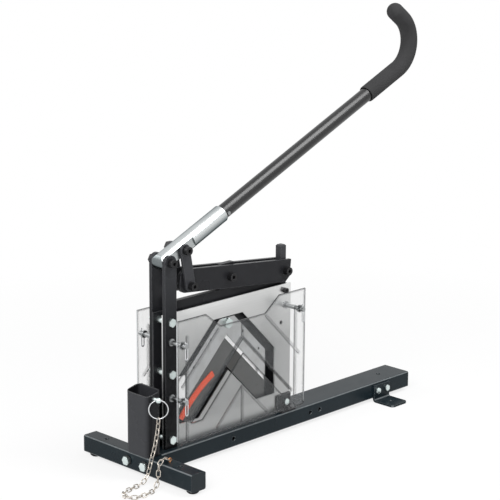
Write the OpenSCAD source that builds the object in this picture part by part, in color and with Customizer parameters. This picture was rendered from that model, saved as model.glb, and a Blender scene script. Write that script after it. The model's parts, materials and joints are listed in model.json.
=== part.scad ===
// Lever-operated bench cutter for right-angled board edge protectors.
// The machine is laid out from the foot's outer face (X = 0), its centre plane (Y = 0)
// and the floor (Z = 0). The whole of it is then moved so that the origin lies under
// the middle of its outer box.

/* [Base] */
// Length of the cross foot
foot_len = 336; // [300:2:400]
// Side of the cross foot's square tube
foot_size = 38.1; // [36:0.1:42]
// Length of the base tube
tube_len = 802; // [760:1:880]
// Width of the base tube
tube_w = 76.2; // [74:0.1:90]
// Height of the base tube
tube_h = 38.1; // [36:0.1:42]
// Wall of the foot and of the base tube
tube_wall = 3.2; // [2:0.1:4]
// Outer corner radius of the foot and of the base tube
tube_r = 4; // [3.5:0.1:5]
// Height of the rubber floor pads
pad_h = 8; // [6:0.5:12]
// Distance of each floor pad from the middle of the foot
pad_reach = 150; // [137:1:153]
// Diameter of the bench bolt holes
bench_hole_d = 11; // [8:0.5:12]
// Distance between the two bench holes in the foot
bench_spread = 227; // [200:1:240]
// Distance of the tail's bench hole from the tail end
tail_hole_inset = 67; // [50:1:75]
// Distance between the two foot bolts
foot_bolt_spread = 52.6; // [48:0.2:54]

/* [Tail bracket] */
// Length of the bracket along the base tube
bracket_len = 54; // [48:1:60]
// Reach of the bracket's flange from the tube
bracket_reach = 61; // [50:1:75]
// Height of the bracket
bracket_h = 41; // [38:1:44]
// Thickness of the bracket
bracket_t = 5; // [4:0.5:6]
// Distance of the bracket's middle from the tail end
bracket_inset = 103; // [100:1:130]
// Diameter of the hole in the flange
bracket_hole_d = 9; // [6:0.5:12]

/* [Holder cup] */
// Width of the cup across the machine
cup_w = 71; // [58:0.5:74]
// How far the cup's middle lies in front of the centre plane
cup_shift = 2.5; // [0:0.5:7]
// Height of the cup at its low side
cup_h = 132; // [124:1:140]
// Rise of the cup's sloping rim
cup_rise = 9; // [4:0.5:14]
// Wall of the cup
cup_wall = 2.5; // [2:0.1:3]
// Corner radius of the cup
cup_r = 12; // [6:0.5:14]

/* [Uprights and plates] */
// Distance of the uprights' middle from the foot's outer face
upright_x = 78; // [70:0.5:84]
// Width of the uprights
upright_w = 32; // [28:0.5:36]
// Thickness of the uprights
upright_t = 8; // [6:0.5:10]
// Clear gap between the two uprights
upright_gap = 32; // [30:0.5:36]
// Height of the lever pivot above the floor
pivot_h = 446; // [430:1:460]
// Thickness of the two plates
plate_t = 3; // [2:0.5:4]
// Height of the plates above the base tube
plate_h = 290.5; // [286:0.5:294]
// How far the plates run past the middle of the post
plate_past = 16; // [12:1:20]
// Diameter of the upright bolts
upright_bolt_d = 10; // [8:1:12]

/* [Cutting window] */
// Distance of the cutting centre from the foot's outer face
cut_x = 252; // [246:1:258]
// Height of the die edges at the cutting centre
die_h = 246.5; // [244:0.5:248]
// Height of the blade edges above the die edges when open
open_rise = 10; // [9:0.5:11]
// Thickness of the blades and dies
blade_t = 6; // [5:0.5:6.5]
// Width of the blades and dies across their edge
blade_w = 42; // [38:1:44]
// Half the length of the blades, measured across the machine's length
blade_reach = 118; // [110:1:124]
// Height of the window's flat top
window_top = 298; // [295:1:302]
// Half width of the window at its widest
window_half = 145; // [140:1:150]

/* [Beam and links] */
// Distance of the post's middle from the foot's outer face
post_x = 430; // [424:1:440]
// Side of the square post
post_size = 16; // [14:0.5:18]
// Height of the beam's pivot above the floor
beam_pivot_h = 366; // [362:0.5:372]
// Height of the beam bars
beam_h = 50; // [44:1:52]
// Thickness of the beam bars
beam_t = 7.6; // [6:0.1:7.8]
// Tilt of the beam when open
beam_tilt = 6; // [5:0.1:6.5]
// Distance of the drive bolt from the beam's pivot
drive_reach = 174; // [170:1:178]
// Distance of the link bolt from the beam's pivot
link_reach = 294; // [290:1:298]
// Drop of the link bolt below the beam's middle line
link_drop = 10; // [6:0.5:12]
// Length of the beam past the link bolt
beam_past = 26; // [22:1:28]
// Length of the beam past its pivot
beam_nose = 14; // [12:0.5:20]
// Width of the links
link_w = 25; // [22:0.5:28]
// Thickness of the links
link_t = 6; // [5:0.5:7]
// Diameter of the pivot bolts
pin_d = 12; // [10:0.5:13]

/* [Lever] */
// Angle of the lever above level when open
lever_angle = 24; // [20:0.5:28]
// Distance of the links' top bolt from the lever pivot
crank = 48; // [45:0.5:50]
// Diameter of the lever's socket tube
socket_d = 38.1; // [36:0.1:42]
// Where the socket tube starts, from the lever pivot
socket_start = 80; // [76:1:90]
// Where the socket tube ends, from the lever pivot
socket_end = 183; // [170:1:200]
// Diameter of the handle tube
handle_d = 31.75; // [28:0.05:32]
// Wall of the handle tube
handle_wall = 2.5; // [2:0.1:3]
// Where the handle's bend starts, from the lever pivot
bend_start = 805; // [780:1:830]
// Radius of the handle's bend
bend_r = 67; // [60:1:80]
// Angle of the handle's bend
bend_turn = 121; // [110:1:125]
// Where the foam grip starts, from the lever pivot
grip_start = 687; // [660:1:720]
// Diameter of the foam grip
grip_d = 39; // [36:0.5:42]

/* [Guards] */
// Distance of the guards' outer faces from the centre plane
guard_y = 62.5; // [58:0.5:70]
// Thickness of the guard sheets
guard_t = 3; // [2:0.5:4]
// Half width of the guards
guard_half = 192; // [190:1:195]
// Height of the guards' lower edge above the floor
guard_low = 65; // [60:1:75]
// Height of the guards' upper edge above the floor
guard_high = 333; // [326:1:336]
// Diameter of the guard pins
guard_pin_d = 10; // [8:0.5:11]
// Wire of the hairpin clips
clip_wire = 2.4; // [2:0.1:2.6]

/* [Lock pin and chain] */
// Diameter of the lock pin
lock_d = 8; // [6:0.5:9]
// Distance of the lock pin below the cup's rim
lock_drop = 5; // [4:0.5:10]
// Outer diameter of the pull ring
ring_d = 42; // [38:0.5:44]
// Wire of the pull ring
ring_wire = 2.4; // [2:0.1:2.6]
// Wire of the chain links
chain_wire = 2.2; // [1.8:0.1:2.4]
// Clear length inside a chain link
chain_inner_len = 12.2; // [11.8:0.1:12.6]
// Clear width inside a chain link
chain_inner_w = 6.2; // [6:0.1:6.6]

/* [Hidden] */
$fn = 64;
// Clearances: pieces that are fixed together, shafts that turn, and parts that slide
fix_gap = 0.1;
run_gap = 0.05;
slide_gap = 0.4;
// The opened joint between the links and the beam needs more room in its holes
open_gap = 1.2;

// Levels and stations
foot_top = pad_h + foot_size;
base_top = pad_h + tube_h;
tube_x1 = foot_size + tube_len;
cap_flange = 2;
cap_plug = 10;
in_y = upright_gap / 2;
out_y = in_y + upright_t;
plate_in = in_y - plate_t;
plate_x0 = upright_x - upright_w / 2;
plate_x1 = post_x + plate_past;
plate_top = base_top + plate_h;
guide_w = 10;
guide_set = 9;
guide_x0 = upright_x + guide_set;
guide_x1 = guide_x0 + guide_w;
post_x0 = post_x - post_size / 2;

// Hex heads and nuts, across the flats, as a share of the thread
hex_share = 1.7;
head_share = 0.64;
washer_t = 2;
washer_share = 2.2;
foot_bolt_d = 10;
foot_head_h = head_share * foot_bolt_d;
foot_bolt_past = 4;
end_plate_t = 8;
tail_bolt_d = 8;
tail_bolt_spread = 32;
tail_bolt_in = 10;
tail_nut_h = 7;
bracket_x = tube_x1 - bracket_inset;
side_hole_d = 10;
side_holes = [248, 493, 524];

// Upright bolts and guard pins
upright_bolt_z = [65, 208, 320];
spacer_d = 16;
left_pin_z = [157, 278];
right_pin_z = 288;
spare_hole_z = 250;
spare_hole_d = 9;
spare_hole_set = 6;
pin_collar_d = 16;
pin_collar_t = 3;
pin_past = 9;
spigot_share = 0.8;

// Plate clips
clip_len = 44;
clip_h = 36;
clip_t = 4;
clip_foot = 20;
clip_bolt_rise = 18;
clip_bolt_z = base_top + clip_bolt_rise;
plate_screw_d = 8;
plate_screw_x = post_x - 4;
plate_screw_z = plate_top - 14.5;
screw_end = 1;

// Lines of the cut: each slopes at 45 degrees on both sides of the cutting centre and is
// named by its height there
sqrt2 = sqrt(2);
blade_edge = die_h + open_rise;
blade_back = blade_edge + blade_w * sqrt2;
carrier_set = 20;
carrier_edge = blade_edge + carrier_set * sqrt2;
die_back = die_h - blade_w * sqrt2;
support_set = 12;
support_edge = die_h - support_set * sqrt2;
window_over = 18;
window_back = blade_back + window_over * sqrt2;
window_under = 7;
window_inner = die_back - window_under * sqrt2;
window_low = 90;
carrier_t = 12;
blade_y1 = -carrier_t / 2;
blade_y0 = blade_y1 - blade_t;
die_y0 = blade_y1 + slide_gap;
die_y1 = die_y0 + blade_t;
die_reach = 122;
support_reach = 150;
carrier_low = 190;
carrier_drop = 9;
carrier_top = beam_pivot_h - carrier_drop;
apex_bolt_d = 12;
// The blades' flat top lies under the window's top and under the point where their backs meet
top_gap = 4;
least_flat = 12;
blade_top = min(window_top - top_gap, blade_back - least_flat);
apex_set = 12;
apex_bolt_z = blade_top - apex_set;
blade_screw_d = 6;
blade_screw_at = [48, 98];
blade_screw_set = 10;
screw_sunk = 0.5;

// Beam: its bolts, in its own frame and in the machine's frame
drive_x = post_x - drive_reach * cos(beam_tilt);
drive_z = beam_pivot_h + drive_reach * sin(beam_tilt);
link_low_x = post_x - link_reach * cos(beam_tilt) - link_drop * sin(beam_tilt);
link_low_z = beam_pivot_h + link_reach * sin(beam_tilt) - link_drop * cos(beam_tilt);
bar_y0 = post_size / 2 + slide_gap;
bar_y1 = bar_y0 + beam_t;
lever_w = upright_gap - 2 * slide_gap;
link_y0 = max(bar_y1, lever_w / 2) + slide_gap;
link_y1 = link_y0 + link_t;
link_top_x = upright_x + crank * cos(lever_angle);
link_top_z = pivot_h + crank * sin(lever_angle);
link_dx = link_low_x - link_top_x;
link_dz = link_low_z - link_top_z;
link_len = norm([link_dx, link_dz]);
link_turn = atan2(link_dx, -link_dz);
tongue_w = 42;
tongue_rise = 28;
tongue_top = drive_z + tongue_rise;
nut_h = 9;
thread_past = 1;
// Socket heads as shares of the thread: their diameter, height and hex socket
cap_share = 1.5;
cap_high = 1;
cap_socket_share = 0.67;
post_rise = 32;
post_top = beam_pivot_h + beam_h / 2 + post_rise;
post_cut = 2.5;

// Lever
nose_r = upright_w / 2;
socket_web = 8;
socket_floor = socket_start + socket_web;
handle_play = 3;
handle_in = socket_floor + handle_play;
handle_tail = 20;
bend_thin = 0.4;
bend_lap = 1;
grip_tail = 29;
button_d = 8;
button_past = 7;
button_u = socket_end + button_past;
button_out = 3;

// Guard outline, from the cutting centre
ear_half = 110;
notch_half = 67;
notch_deep = 33;
notch_h = guard_high - notch_deep;
slot_over = 1.5;
slot_top = blade_edge + slot_over;
slot_under = 20.5;
slot_low = die_h - slot_under;
slot_end_up = 41;
slot_end = guard_low + slot_end_up;
slot_outer = slot_top - slot_end;
slot_inner = slot_low - slot_end;
guard_r = 10;
rib_t = 2;
rib_deep = 4;
rim_deep = 8;
rib_x = [-162, 164];
rib_end = 4;
peak_drop = 73;
rib_apex = slot_low - peak_drop;
rib_reach = 76;
slant_set = 2;
slant_high = notch_h + notch_half - slant_set;
slant_from = notch_half + rib_end;
slant_to = 176;

// Warning strip: an arc about a point to the right of the cutting centre and below the die edges
strip_r = 310;
strip_w = 13;
strip_t = 3;
strip_mid_x = 110;
strip_mid_drop = 344;
strip_from = 118.2;
strip_turn = 23.2;

// Lock pin, ring and chain eye
lock_x = 15;
cup_front = cup_shift + cup_w / 2;
lock_z = foot_top + cup_h - lock_drop;
lock_out = 15;
lock_head_y = -cup_front - lock_out;
lock_head_d = 12;
lock_in = 8;
lock_tip_y = -cup_front + cup_wall + lock_in;
ring_r = (ring_d - ring_wire) / 2;
ring_turn = 42;
ring_play = 0.6;
ring_z = lock_z - ring_r + ring_play;
ring_low = ring_z - ring_r;
eye_x = 19;
eye_y = -82;
eye_r = 4;
eye_wire = 2;
eye_lift = 0.5;
eye_z = foot_top + eye_r + eye_wire / 2 + eye_lift;
chain_gap = 0.35;
chain_pitch = chain_inner_len - 2 * chain_gap;
chain_r = (chain_inner_w + chain_wire) / 2;
chain_lie = chain_r + chain_wire / 2;
// Route of the chain, from the ring over the foot's edge to the floor and up to the eye
hang = ring_low - foot_top;
chain_route = [
    [lock_x, lock_head_y, ring_low + ring_wire / 2], [lock_x - 2, lock_head_y, foot_top + 0.78 * hang],
    [8, lock_head_y, foot_top + 0.52 * hang], [2, lock_head_y, foot_top + 0.27 * hang],
    [-5, lock_head_y, foot_top + 6], [-10, lock_head_y, foot_top - 10],
    [-15, lock_head_y, foot_top - 24], [-24, lock_head_y, 11], [-39, lock_head_y - 1, chain_lie],
    [-56, -56, chain_lie], [-74, -59, chain_lie], [-90, -64, chain_lie], [-100, -75, chain_lie],
    [-100, -89, chain_lie], [-90, -99, chain_lie], [-74, -102, chain_lie], [-56, -101, chain_lie],
    [-40, -97, chain_lie], [-27, -92, 11], [-19, -88, foot_top - 22], [-16, -86, foot_top - 9],
    [-12, -84, foot_top + 5], [-3, -83, foot_top + 12], [7, -82, foot_top + 12.5],
    [eye_x - eye_r + 2.2, eye_y, eye_z + 1]
];
route_steps = 5;

// The origin lies under the middle of the outer box
bend_top_x = upright_x + bend_start * cos(lever_angle) - bend_r * sin(lever_angle)
    + bend_r + (grip_d - bend_thin) / 2;
box_x0 = -(washer_t + foot_head_h);
box_mid = (box_x0 + bend_top_x) / 2;

// Shared shapes
module round_rect(w, h, r) {
    square([w - 2 * r, h], center = true);
    square([w, h - 2 * r], center = true);
    for (sx = [-1, 1], sy = [-1, 1])
        translate([sx * (w / 2 - r), sy * (h / 2 - r)])
            circle(r);
}

module tube_ring(w, h, r, wall) {
    difference() {
        round_rect(w, h, r);
        round_rect(w - 2 * wall, h - 2 * wall, max(r - wall, 0.5));
    }
}

// A flat outline in X and Z, given thickness from y0 to y1
module slab(y0, y1) {
    translate([0, y1, 0])
        rotate([90, 0, 0])
            linear_extrude(y1 - y0)
                children();
}

module rod_x(y, z, x0, x1, d) {
    translate([x0, y, z])
        rotate([0, 90, 0])
            cylinder(h = x1 - x0, d = d);
}

module rod_y(x, z, y0, y1, d) {
    translate([x, y0, z])
        rotate([-90, 0, 0])
            cylinder(h = y1 - y0, d = d);
}

module rod_z(x, y, z0, z1, d) {
    translate([x, y, z0])
        cylinder(h = z1 - z0, d = d);
}

// Six-sided prism along Y, for bolt heads and nuts
module hex_y(x, z, y0, y1, flats) {
    translate([x, y0, z])
        rotate([-90, 0, 0])
            cylinder(h = y1 - y0, d = flats / cos(30), $fn = 6);
}

// Socket head bolt along Y with its head on the front
module cap_bolt_y(x, z, y_head, y_end, d) {
    y_top = y_head - cap_high * d;
    difference() {
        union() {
            rod_y(x, z, y_top, y_head, cap_share * d);
            rod_y(x, z, y_head, y_end, d);
        }
        hex_y(x, z, y_top - 1, y_top + cap_high * d / 2, cap_socket_share * d);
    }
}

// Hex bolt along Y: dir is -1 for a head on the front and 1 for a head on the back
module hex_bolt_y(x, z, y_head, y_end, d, dir) {
    head_h = head_share * d;
    hex_y(x, z, min(y_head, y_head + dir * head_h), max(y_head, y_head + dir * head_h), hex_share * d);
    rod_y(x, z, min(y_head, y_end), max(y_head, y_end), d);
}

module nut_y(x, z, y0, y1, d) {
    difference() {
        hex_y(x, z, y0, y1, hex_share * d);
        rod_y(x, z, y0 - 1, y1 + 1, d + 2 * fix_gap);
    }
}

module lever_frame() {
    translate([upright_x, 0, pivot_h])
        rotate([0, -lever_angle, 0])
            children();
}

module beam_frame() {
    translate([post_x, 0, beam_pivot_h])
        rotate([0, beam_tilt, 0])
            children();
}

// Base
module base_tube() {
    color("#1d2126")
    difference() {
        translate([foot_size, 0, pad_h + tube_h / 2])
            rotate([90, 0, 90])
                linear_extrude(tube_len - cap_flange)
                    tube_ring(tube_w, tube_h, tube_r, tube_wall);
        rod_z(tube_x1 - tail_hole_inset, 0, pad_h - 1, base_top + 1, bench_hole_d);
        for (x = side_holes)
            rod_y(x, pad_h + tube_h / 2, -tube_w / 2 - 1, -tube_w / 2 + tube_wall + 1, side_hole_d);
        for (s = [-1, 1])
            rod_y(bracket_x + s * tail_bolt_spread / 2, pad_h + tube_h / 2,
                  -tube_w / 2 - 1, -tube_w / 2 + tube_wall + 1, tail_bolt_d + 2 * fix_gap);
    }
}

module tube_end_plate() {
    color("#2a2d31")
    difference() {
        translate([foot_size, 0, pad_h + tube_h / 2])
            rotate([90, 0, 90])
                linear_extrude(end_plate_t)
                    round_rect(tube_w - 2 * (tube_wall + fix_gap), tube_h - 2 * (tube_wall + fix_gap), 1);
        for (s = [-1, 1])
            rod_x(s * foot_bolt_spread / 2, pad_h + foot_size / 2, foot_size - 1,
                  foot_size + end_plate_t + 1, foot_bolt_d + 2 * fix_gap);
    }
}

module tail_cap() {
    color("#17191c")
    translate([tube_x1, 0, pad_h + tube_h / 2])
        rotate([90, 0, -90]) {
            linear_extrude(cap_flange)
                round_rect(tube_w, tube_h, tube_r);
            linear_extrude(cap_flange + cap_plug)
                round_rect(tube_w - 2 * (tube_wall + fix_gap), tube_h - 2 * (tube_wall + fix_gap), 1);
        }
}

module cross_foot() {
    color("#1d2126")
    difference() {
        translate([foot_size / 2, 0, pad_h + foot_size / 2])
            rotate([90, 0, 0])
                linear_extrude(foot_len - 2 * cap_flange, center = true)
                    tube_ring(foot_size, foot_size, tube_r, tube_wall);
        for (s = [-1, 1]) {
            rod_z(foot_size / 2, s * bench_spread / 2, pad_h - 1, foot_top + 1, bench_hole_d);
            rod_x(s * foot_bolt_spread / 2, pad_h + foot_size / 2, -1, foot_size + 1,
                  foot_bolt_d + 2 * fix_gap);
        }
        rod_z(eye_x, eye_y, foot_top - tube_wall - 1, foot_top + 1, eye_wire + 1 + 2 * fix_gap);
    }
}

module foot_caps() {
    color("#17191c")
    for (s = [0, 1])
        mirror([0, s, 0])
            translate([foot_size / 2, foot_len / 2, pad_h + foot_size / 2])
                rotate([90, 0, 0]) {
                    linear_extrude(cap_flange)
                        round_rect(foot_size, foot_size, tube_r);
                    linear_extrude(cap_flange + cap_plug)
                        round_rect(foot_size - 2 * (tube_wall + fix_gap),
                                   foot_size - 2 * (tube_wall + fix_gap), 1);
                }
}

module floor_pads() {
    pad_d = 26;
    color("#101214")
    for (s = [-1, 1])
        translate([foot_size / 2, s * pad_reach, 0])
            rotate_extrude()
                polygon([[0, 0], [pad_d / 2 - 3, 0], [pad_d / 2, 3], [pad_d / 2, pad_h], [0, pad_h]]);
}

module foot_bolts() {
    color("#c9ccce")
    for (s = [-1, 1])
        translate([-washer_t, s * foot_bolt_spread / 2, pad_h + foot_size / 2])
            rotate([0, 90, 0]) {
                translate([0, 0, -foot_head_h])
                    cylinder(h = foot_head_h, d = hex_share * foot_bolt_d / cos(30), $fn = 6);
                cylinder(h = washer_t + foot_size + end_plate_t + foot_bolt_past, d = foot_bolt_d);
            }
}

module foot_washers() {
    color("#15171a")
    for (s = [-1, 1])
        difference() {
            rod_x(s * foot_bolt_spread / 2, pad_h + foot_size / 2, -washer_t, 0, washer_share * foot_bolt_d);
            rod_x(s * foot_bolt_spread / 2, pad_h + foot_size / 2, -washer_t - 1, 1,
                  foot_bolt_d + 2 * fix_gap);
        }
}

// L angle in Y and Z: a leg on the tube's face and a flange on the floor
module tail_bracket() {
    bend = bracket_t + 4;
    round = 8;
    hole_share = 0.45;
    y1 = -tube_w / 2;
    y0 = y1 - bracket_reach;
    color("#1a1d21")
    difference() {
        intersection() {
            translate([bracket_x - bracket_len / 2, y1, 0])
                rotate([90, 0, 90])
                    linear_extrude(bracket_len) {
                        translate([-bracket_t, bend])
                            square([bracket_t, bracket_h - bend]);
                        translate([-bracket_reach, 0])
                            square([bracket_reach - bend, bracket_t]);
                        intersection() {
                            translate([-bend, bend])
                                difference() {
                                    circle(bend);
                                    circle(bend - bracket_t);
                                }
                            translate([-bend, 0])
                                square(bend);
                        }
                    }
            translate([bracket_x, (y0 + y1) / 2 + round, -1])
                linear_extrude(bracket_h + 2)
                    round_rect(bracket_len, bracket_reach + 2 * round, round);
        }
        for (s = [-1, 1])
            rod_y(bracket_x + s * tail_bolt_spread / 2, pad_h + tube_h / 2, y1 - bracket_t - 1, y1 + 1,
                  tail_bolt_d + 2 * fix_gap);
        rod_z(bracket_x, y0 + hole_share * bracket_reach, -1, bracket_t + 1, bracket_hole_d);
    }
}

module tail_bolts() {
    color("#c9ccce")
    for (s = [-1, 1])
        hex_bolt_y(bracket_x + s * tail_bolt_spread / 2, pad_h + tube_h / 2, -tube_w / 2 - bracket_t,
                   -tube_w / 2 + tube_wall + tail_bolt_in, tail_bolt_d, -1);
}

module tail_nuts() {
    color("#8d9194")
    for (s = [-1, 1])
        nut_y(bracket_x + s * tail_bolt_spread / 2, pad_h + tube_h / 2, -tube_w / 2 + tube_wall,
              -tube_w / 2 + tube_wall + tail_nut_h, tail_bolt_d);
}

module holder_cup() {
    cup_top = foot_top + cup_h;
    slope = cup_rise / foot_size;
    color("#24272b")
    difference() {
        translate([foot_size / 2, -cup_shift, foot_top])
            linear_extrude(cup_h + cup_rise)
                round_rect(foot_size, cup_w, cup_r);
        translate([foot_size / 2, -cup_shift, foot_top + cup_wall])
            linear_extrude(cup_h + cup_rise)
                round_rect(foot_size - 2 * cup_wall, cup_w - 2 * cup_wall, cup_r - cup_wall);
        slab(-cup_front - 1, cup_w)
            polygon([
                [-1, cup_top - slope], [foot_size + 1, cup_top + cup_rise + slope],
                [foot_size + 1, cup_top + 2 * cup_rise], [-1, cup_top + 2 * cup_rise]
            ]);
        rod_y(lock_x, lock_z, -cup_front - 1, -cup_front + cup_wall + 1, lock_d + 2 * run_gap);
    }
}

// Uprights and plates
module upright(y0, y1) {
    slab(y0, y1)
        difference() {
            union() {
                translate([plate_x0, base_top])
                    square([upright_w, pivot_h - base_top]);
                translate([upright_x, pivot_h])
                    circle(upright_w / 2);
            }
            translate([upright_x, pivot_h])
                circle(d = pin_d + 2 * fix_gap);
            for (z = upright_bolt_z)
                translate([upright_x, z])
                    circle(d = upright_bolt_d + 2 * fix_gap);
            for (z = left_pin_z)
                translate([upright_x, z])
                    circle(d = spigot_share * guard_pin_d + 2 * fix_gap);
        }
}

module front_upright() {
    color("#202428")
        upright(-out_y, -in_y);
}

module rear_upright() {
    color("#202428")
        upright(in_y, out_y);
}

module upright_bolts() {
    color("#c9ccce")
    for (z = upright_bolt_z)
        hex_bolt_y(upright_x, z, -out_y, out_y + nut_h + 2 * thread_past, upright_bolt_d, -1);
}

module upright_spacers() {
    color("#b4b8ba")
    for (z = upright_bolt_z)
        difference() {
            rod_y(upright_x, z, -plate_in, plate_in, spacer_d);
            rod_y(upright_x, z, -plate_in - 1, plate_in + 1, upright_bolt_d + 2 * fix_gap);
        }
}

module upright_nuts() {
    color("#c9ccce")
    for (z = upright_bolt_z)
        nut_y(upright_x, z, out_y, out_y + nut_h, upright_bolt_d);
}

// Window for the work: flat at the top, with two legs at 45 degrees
module window_outline() {
    flat = window_back - window_top;
    polygon([
        [cut_x - flat, window_top], [cut_x + flat, window_top],
        [cut_x + window_half, window_back - window_half], [cut_x + window_half, window_low],
        [cut_x + window_inner - window_low, window_low], [cut_x, window_inner],
        [cut_x - window_inner + window_low, window_low], [cut_x - window_half, window_low],
        [cut_x - window_half, window_back - window_half]
    ]);
}

module plate_outline() {
    difference() {
        translate([plate_x0, base_top])
            square([plate_x1 - plate_x0, plate_h]);
        window_outline();
        for (z = upright_bolt_z)
            translate([upright_x, z])
                circle(d = upright_bolt_d + 2 * fix_gap);
        translate([post_x, right_pin_z])
            circle(d = spigot_share * guard_pin_d + 2 * fix_gap);
        translate([post_x0 - spare_hole_set, spare_hole_z])
            circle(d = spare_hole_d);
        translate([plate_screw_x, plate_screw_z])
            circle(d = plate_screw_d + 2 * fix_gap);
        translate([post_x, clip_bolt_z])
            circle(d = tail_bolt_d + 2 * fix_gap);
    }
}

module front_plate() {
    color("#c4c7c8")
        slab(-in_y, -plate_in)
            plate_outline();
}

module rear_plate() {
    color("#24272b")
        slab(plate_in, in_y)
            plate_outline();
}

module guide_bar() {
    color("#3a3d41")
        translate([guide_x0, -plate_in, base_top])
            cube([guide_w, 2 * plate_in, plate_h]);
}

// Square bar along Z whose top edges are cut at 45 degrees
module post_face() {
    half = post_size / 2;
    polygon([
        [-half, base_top], [half, base_top], [half, post_top - post_cut], [half - post_cut, post_top],
        [-half + post_cut, post_top], [-half, post_top - post_cut]
    ]);
}

// The post fills the gap between the plates, and is narrower where the beam straddles it
module post() {
    color("#2c3034")
    difference() {
        union() {
            translate([post_x0, -plate_in, base_top])
                cube([post_size, 2 * plate_in, plate_h]);
            translate([post_x, 0, 0])
                intersection() {
                    slab(-post_size / 2, post_size / 2)
                        post_face();
                    rotate([0, 0, 90])
                        slab(-post_size / 2, post_size / 2)
                            post_face();
                }
        }
        rod_y(post_x, beam_pivot_h, -post_size, post_size, pin_d + 2 * run_gap);
        rod_y(post_x, right_pin_z, -in_y, in_y, spigot_share * guard_pin_d + 2 * fix_gap);
        rod_y(post_x, clip_bolt_z, -in_y, in_y, tail_bolt_d + 2 * fix_gap);
        rod_y(plate_screw_x, plate_screw_z, -in_y, in_y, plate_screw_d + 2 * fix_gap);
    }
}

module plate_clips() {
    color("#1d2126")
    for (s = [0, 1])
        mirror([0, s, 0])
            difference() {
                translate([plate_x1 - clip_len, -in_y, base_top])
                    rotate([90, 0, 90])
                        linear_extrude(clip_len) {
                            translate([-clip_t, 0])
                                square([clip_t, clip_h]);
                            translate([-clip_foot, 0])
                                square([clip_foot, clip_t]);
                        }
                rod_y(post_x, clip_bolt_z, -in_y - clip_t - 1, -in_y + 1, tail_bolt_d + 2 * fix_gap);
            }
}

module clip_bolts() {
    color("#c9ccce")
    for (s = [0, 1])
        mirror([0, s, 0])
            hex_bolt_y(post_x, clip_bolt_z, -in_y - clip_t, -screw_end, tail_bolt_d, -1);
}

module plate_screws() {
    color("#16181b")
    for (s = [0, 1])
        mirror([0, s, 0])
            cap_bolt_y(plate_screw_x, plate_screw_z, -in_y, -screw_end, plate_screw_d);
}

// Dies: fixed steel bars under the work
module die_bar(side) {
    slab(die_y0, die_y1)
        difference() {
            polygon([
                [cut_x, die_h], [cut_x + side * die_reach, die_h - die_reach],
                [cut_x + side * die_reach, die_back - die_reach], [cut_x, die_back]
            ]);
            for (a = blade_screw_at)
                translate([cut_x + side * a, die_h - a - blade_w / 2 * sqrt2])
                    circle(d = blade_screw_d + 2 * fix_gap);
        }
}

module left_die() {
    color("#8b8f92")
        die_bar(-1);
}

module right_die() {
    color("#8b8f92")
        die_bar(1);
}

module die_support() {
    color("#26292d")
    difference() {
        slab(die_y1, plate_in)
            polygon([
                [cut_x, support_edge], [cut_x + support_reach, support_edge - support_reach],
                [cut_x + support_reach, base_top], [cut_x - support_reach, base_top],
                [cut_x - support_reach, support_edge - support_reach]
            ]);
        for (s = [-1, 1], a = blade_screw_at)
            rod_y(cut_x + s * a, die_h - a - blade_w / 2 * sqrt2, die_y1 - 1, plate_in - 2,
                  blade_screw_d + 2 * fix_gap);
    }
}

module die_screws() {
    color("#1b1d20")
    for (s = [-1, 1], a = blade_screw_at)
        rod_y(cut_x + s * a, die_h - a - blade_w / 2 * sqrt2, die_y0 + screw_sunk, plate_in - 3,
              blade_screw_d);
}

// Curved warning strip on the left die's face, clear of the blade at the end of its stroke
module warning_strip() {
    color("#e8501f")
        translate([cut_x + strip_mid_x, die_y0, die_h - strip_mid_drop])
            rotate([90, 0, 0])
                rotate([0, 0, strip_from])
                    rotate_extrude(angle = strip_turn)
                        translate([strip_r - strip_w / 2, 0])
                            square([strip_w, strip_t]);
}

// Guards: clear sheets on pins, with a notch at the top and a slot for the work
module guard_outline() {
    difference() {
        union() {
            translate([cut_x - guard_half, guard_low + guard_r])
                square([2 * guard_half, notch_h - guard_low - guard_r]);
            translate([cut_x - guard_half + guard_r, guard_low])
                square([2 * (guard_half - guard_r), guard_r]);
            for (s = [-1, 1]) {
                translate([cut_x + s * (guard_half - guard_r), guard_low + guard_r])
                    circle(guard_r);
                polygon([
                    [cut_x + s * guard_half, notch_h], [cut_x + s * guard_half, guard_high],
                    [cut_x + s * ear_half, guard_high], [cut_x + s * notch_half, notch_h]
                ]);
            }
        }
        polygon([
            [cut_x, slot_top], [cut_x + slot_outer, slot_end], [cut_x + slot_inner, slot_end],
            [cut_x, slot_low], [cut_x - slot_inner, slot_end], [cut_x - slot_outer, slot_end]
        ]);
        for (z = left_pin_z)
            translate([upright_x, z])
                circle(d = guard_pin_d + 2 * fix_gap);
        translate([post_x, right_pin_z])
            circle(d = guard_pin_d + 2 * fix_gap);
    }
}

// Ribs on the inner face: upright ones at the ends, one in the middle with a peak on it, and
// two strips at 45 degrees above the slot
module guard_ribs() {
    slant = rib_t * sqrt2;
    for (x = rib_x)
        translate([cut_x + x - rib_t / 2, guard_low + rib_end])
            square([rib_t, notch_h - guard_low - 2 * rib_end]);
    translate([cut_x - rib_t / 2, guard_low + rib_end])
        square([rib_t, rib_apex - guard_low - rib_end - 1]);
    translate([cut_x - rib_t / 2, slot_top + rib_end])
        square([rib_t, notch_h - slot_top - 2 * rib_end]);
    for (s = [-1, 1]) {
        polygon([
            [cut_x, rib_apex], [cut_x + s * rib_reach, rib_apex - rib_reach],
            [cut_x + s * rib_reach, rib_apex - rib_reach - slant], [cut_x, rib_apex - slant]
        ]);
        polygon([
            [cut_x + s * slant_from, slant_high - slant_from], [cut_x + s * slant_to, slant_high - slant_to],
            [cut_x + s * slant_to, slant_high - slant_to - slant],
            [cut_x + s * slant_from, slant_high - slant_from - slant]
        ]);
    }
}

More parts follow.
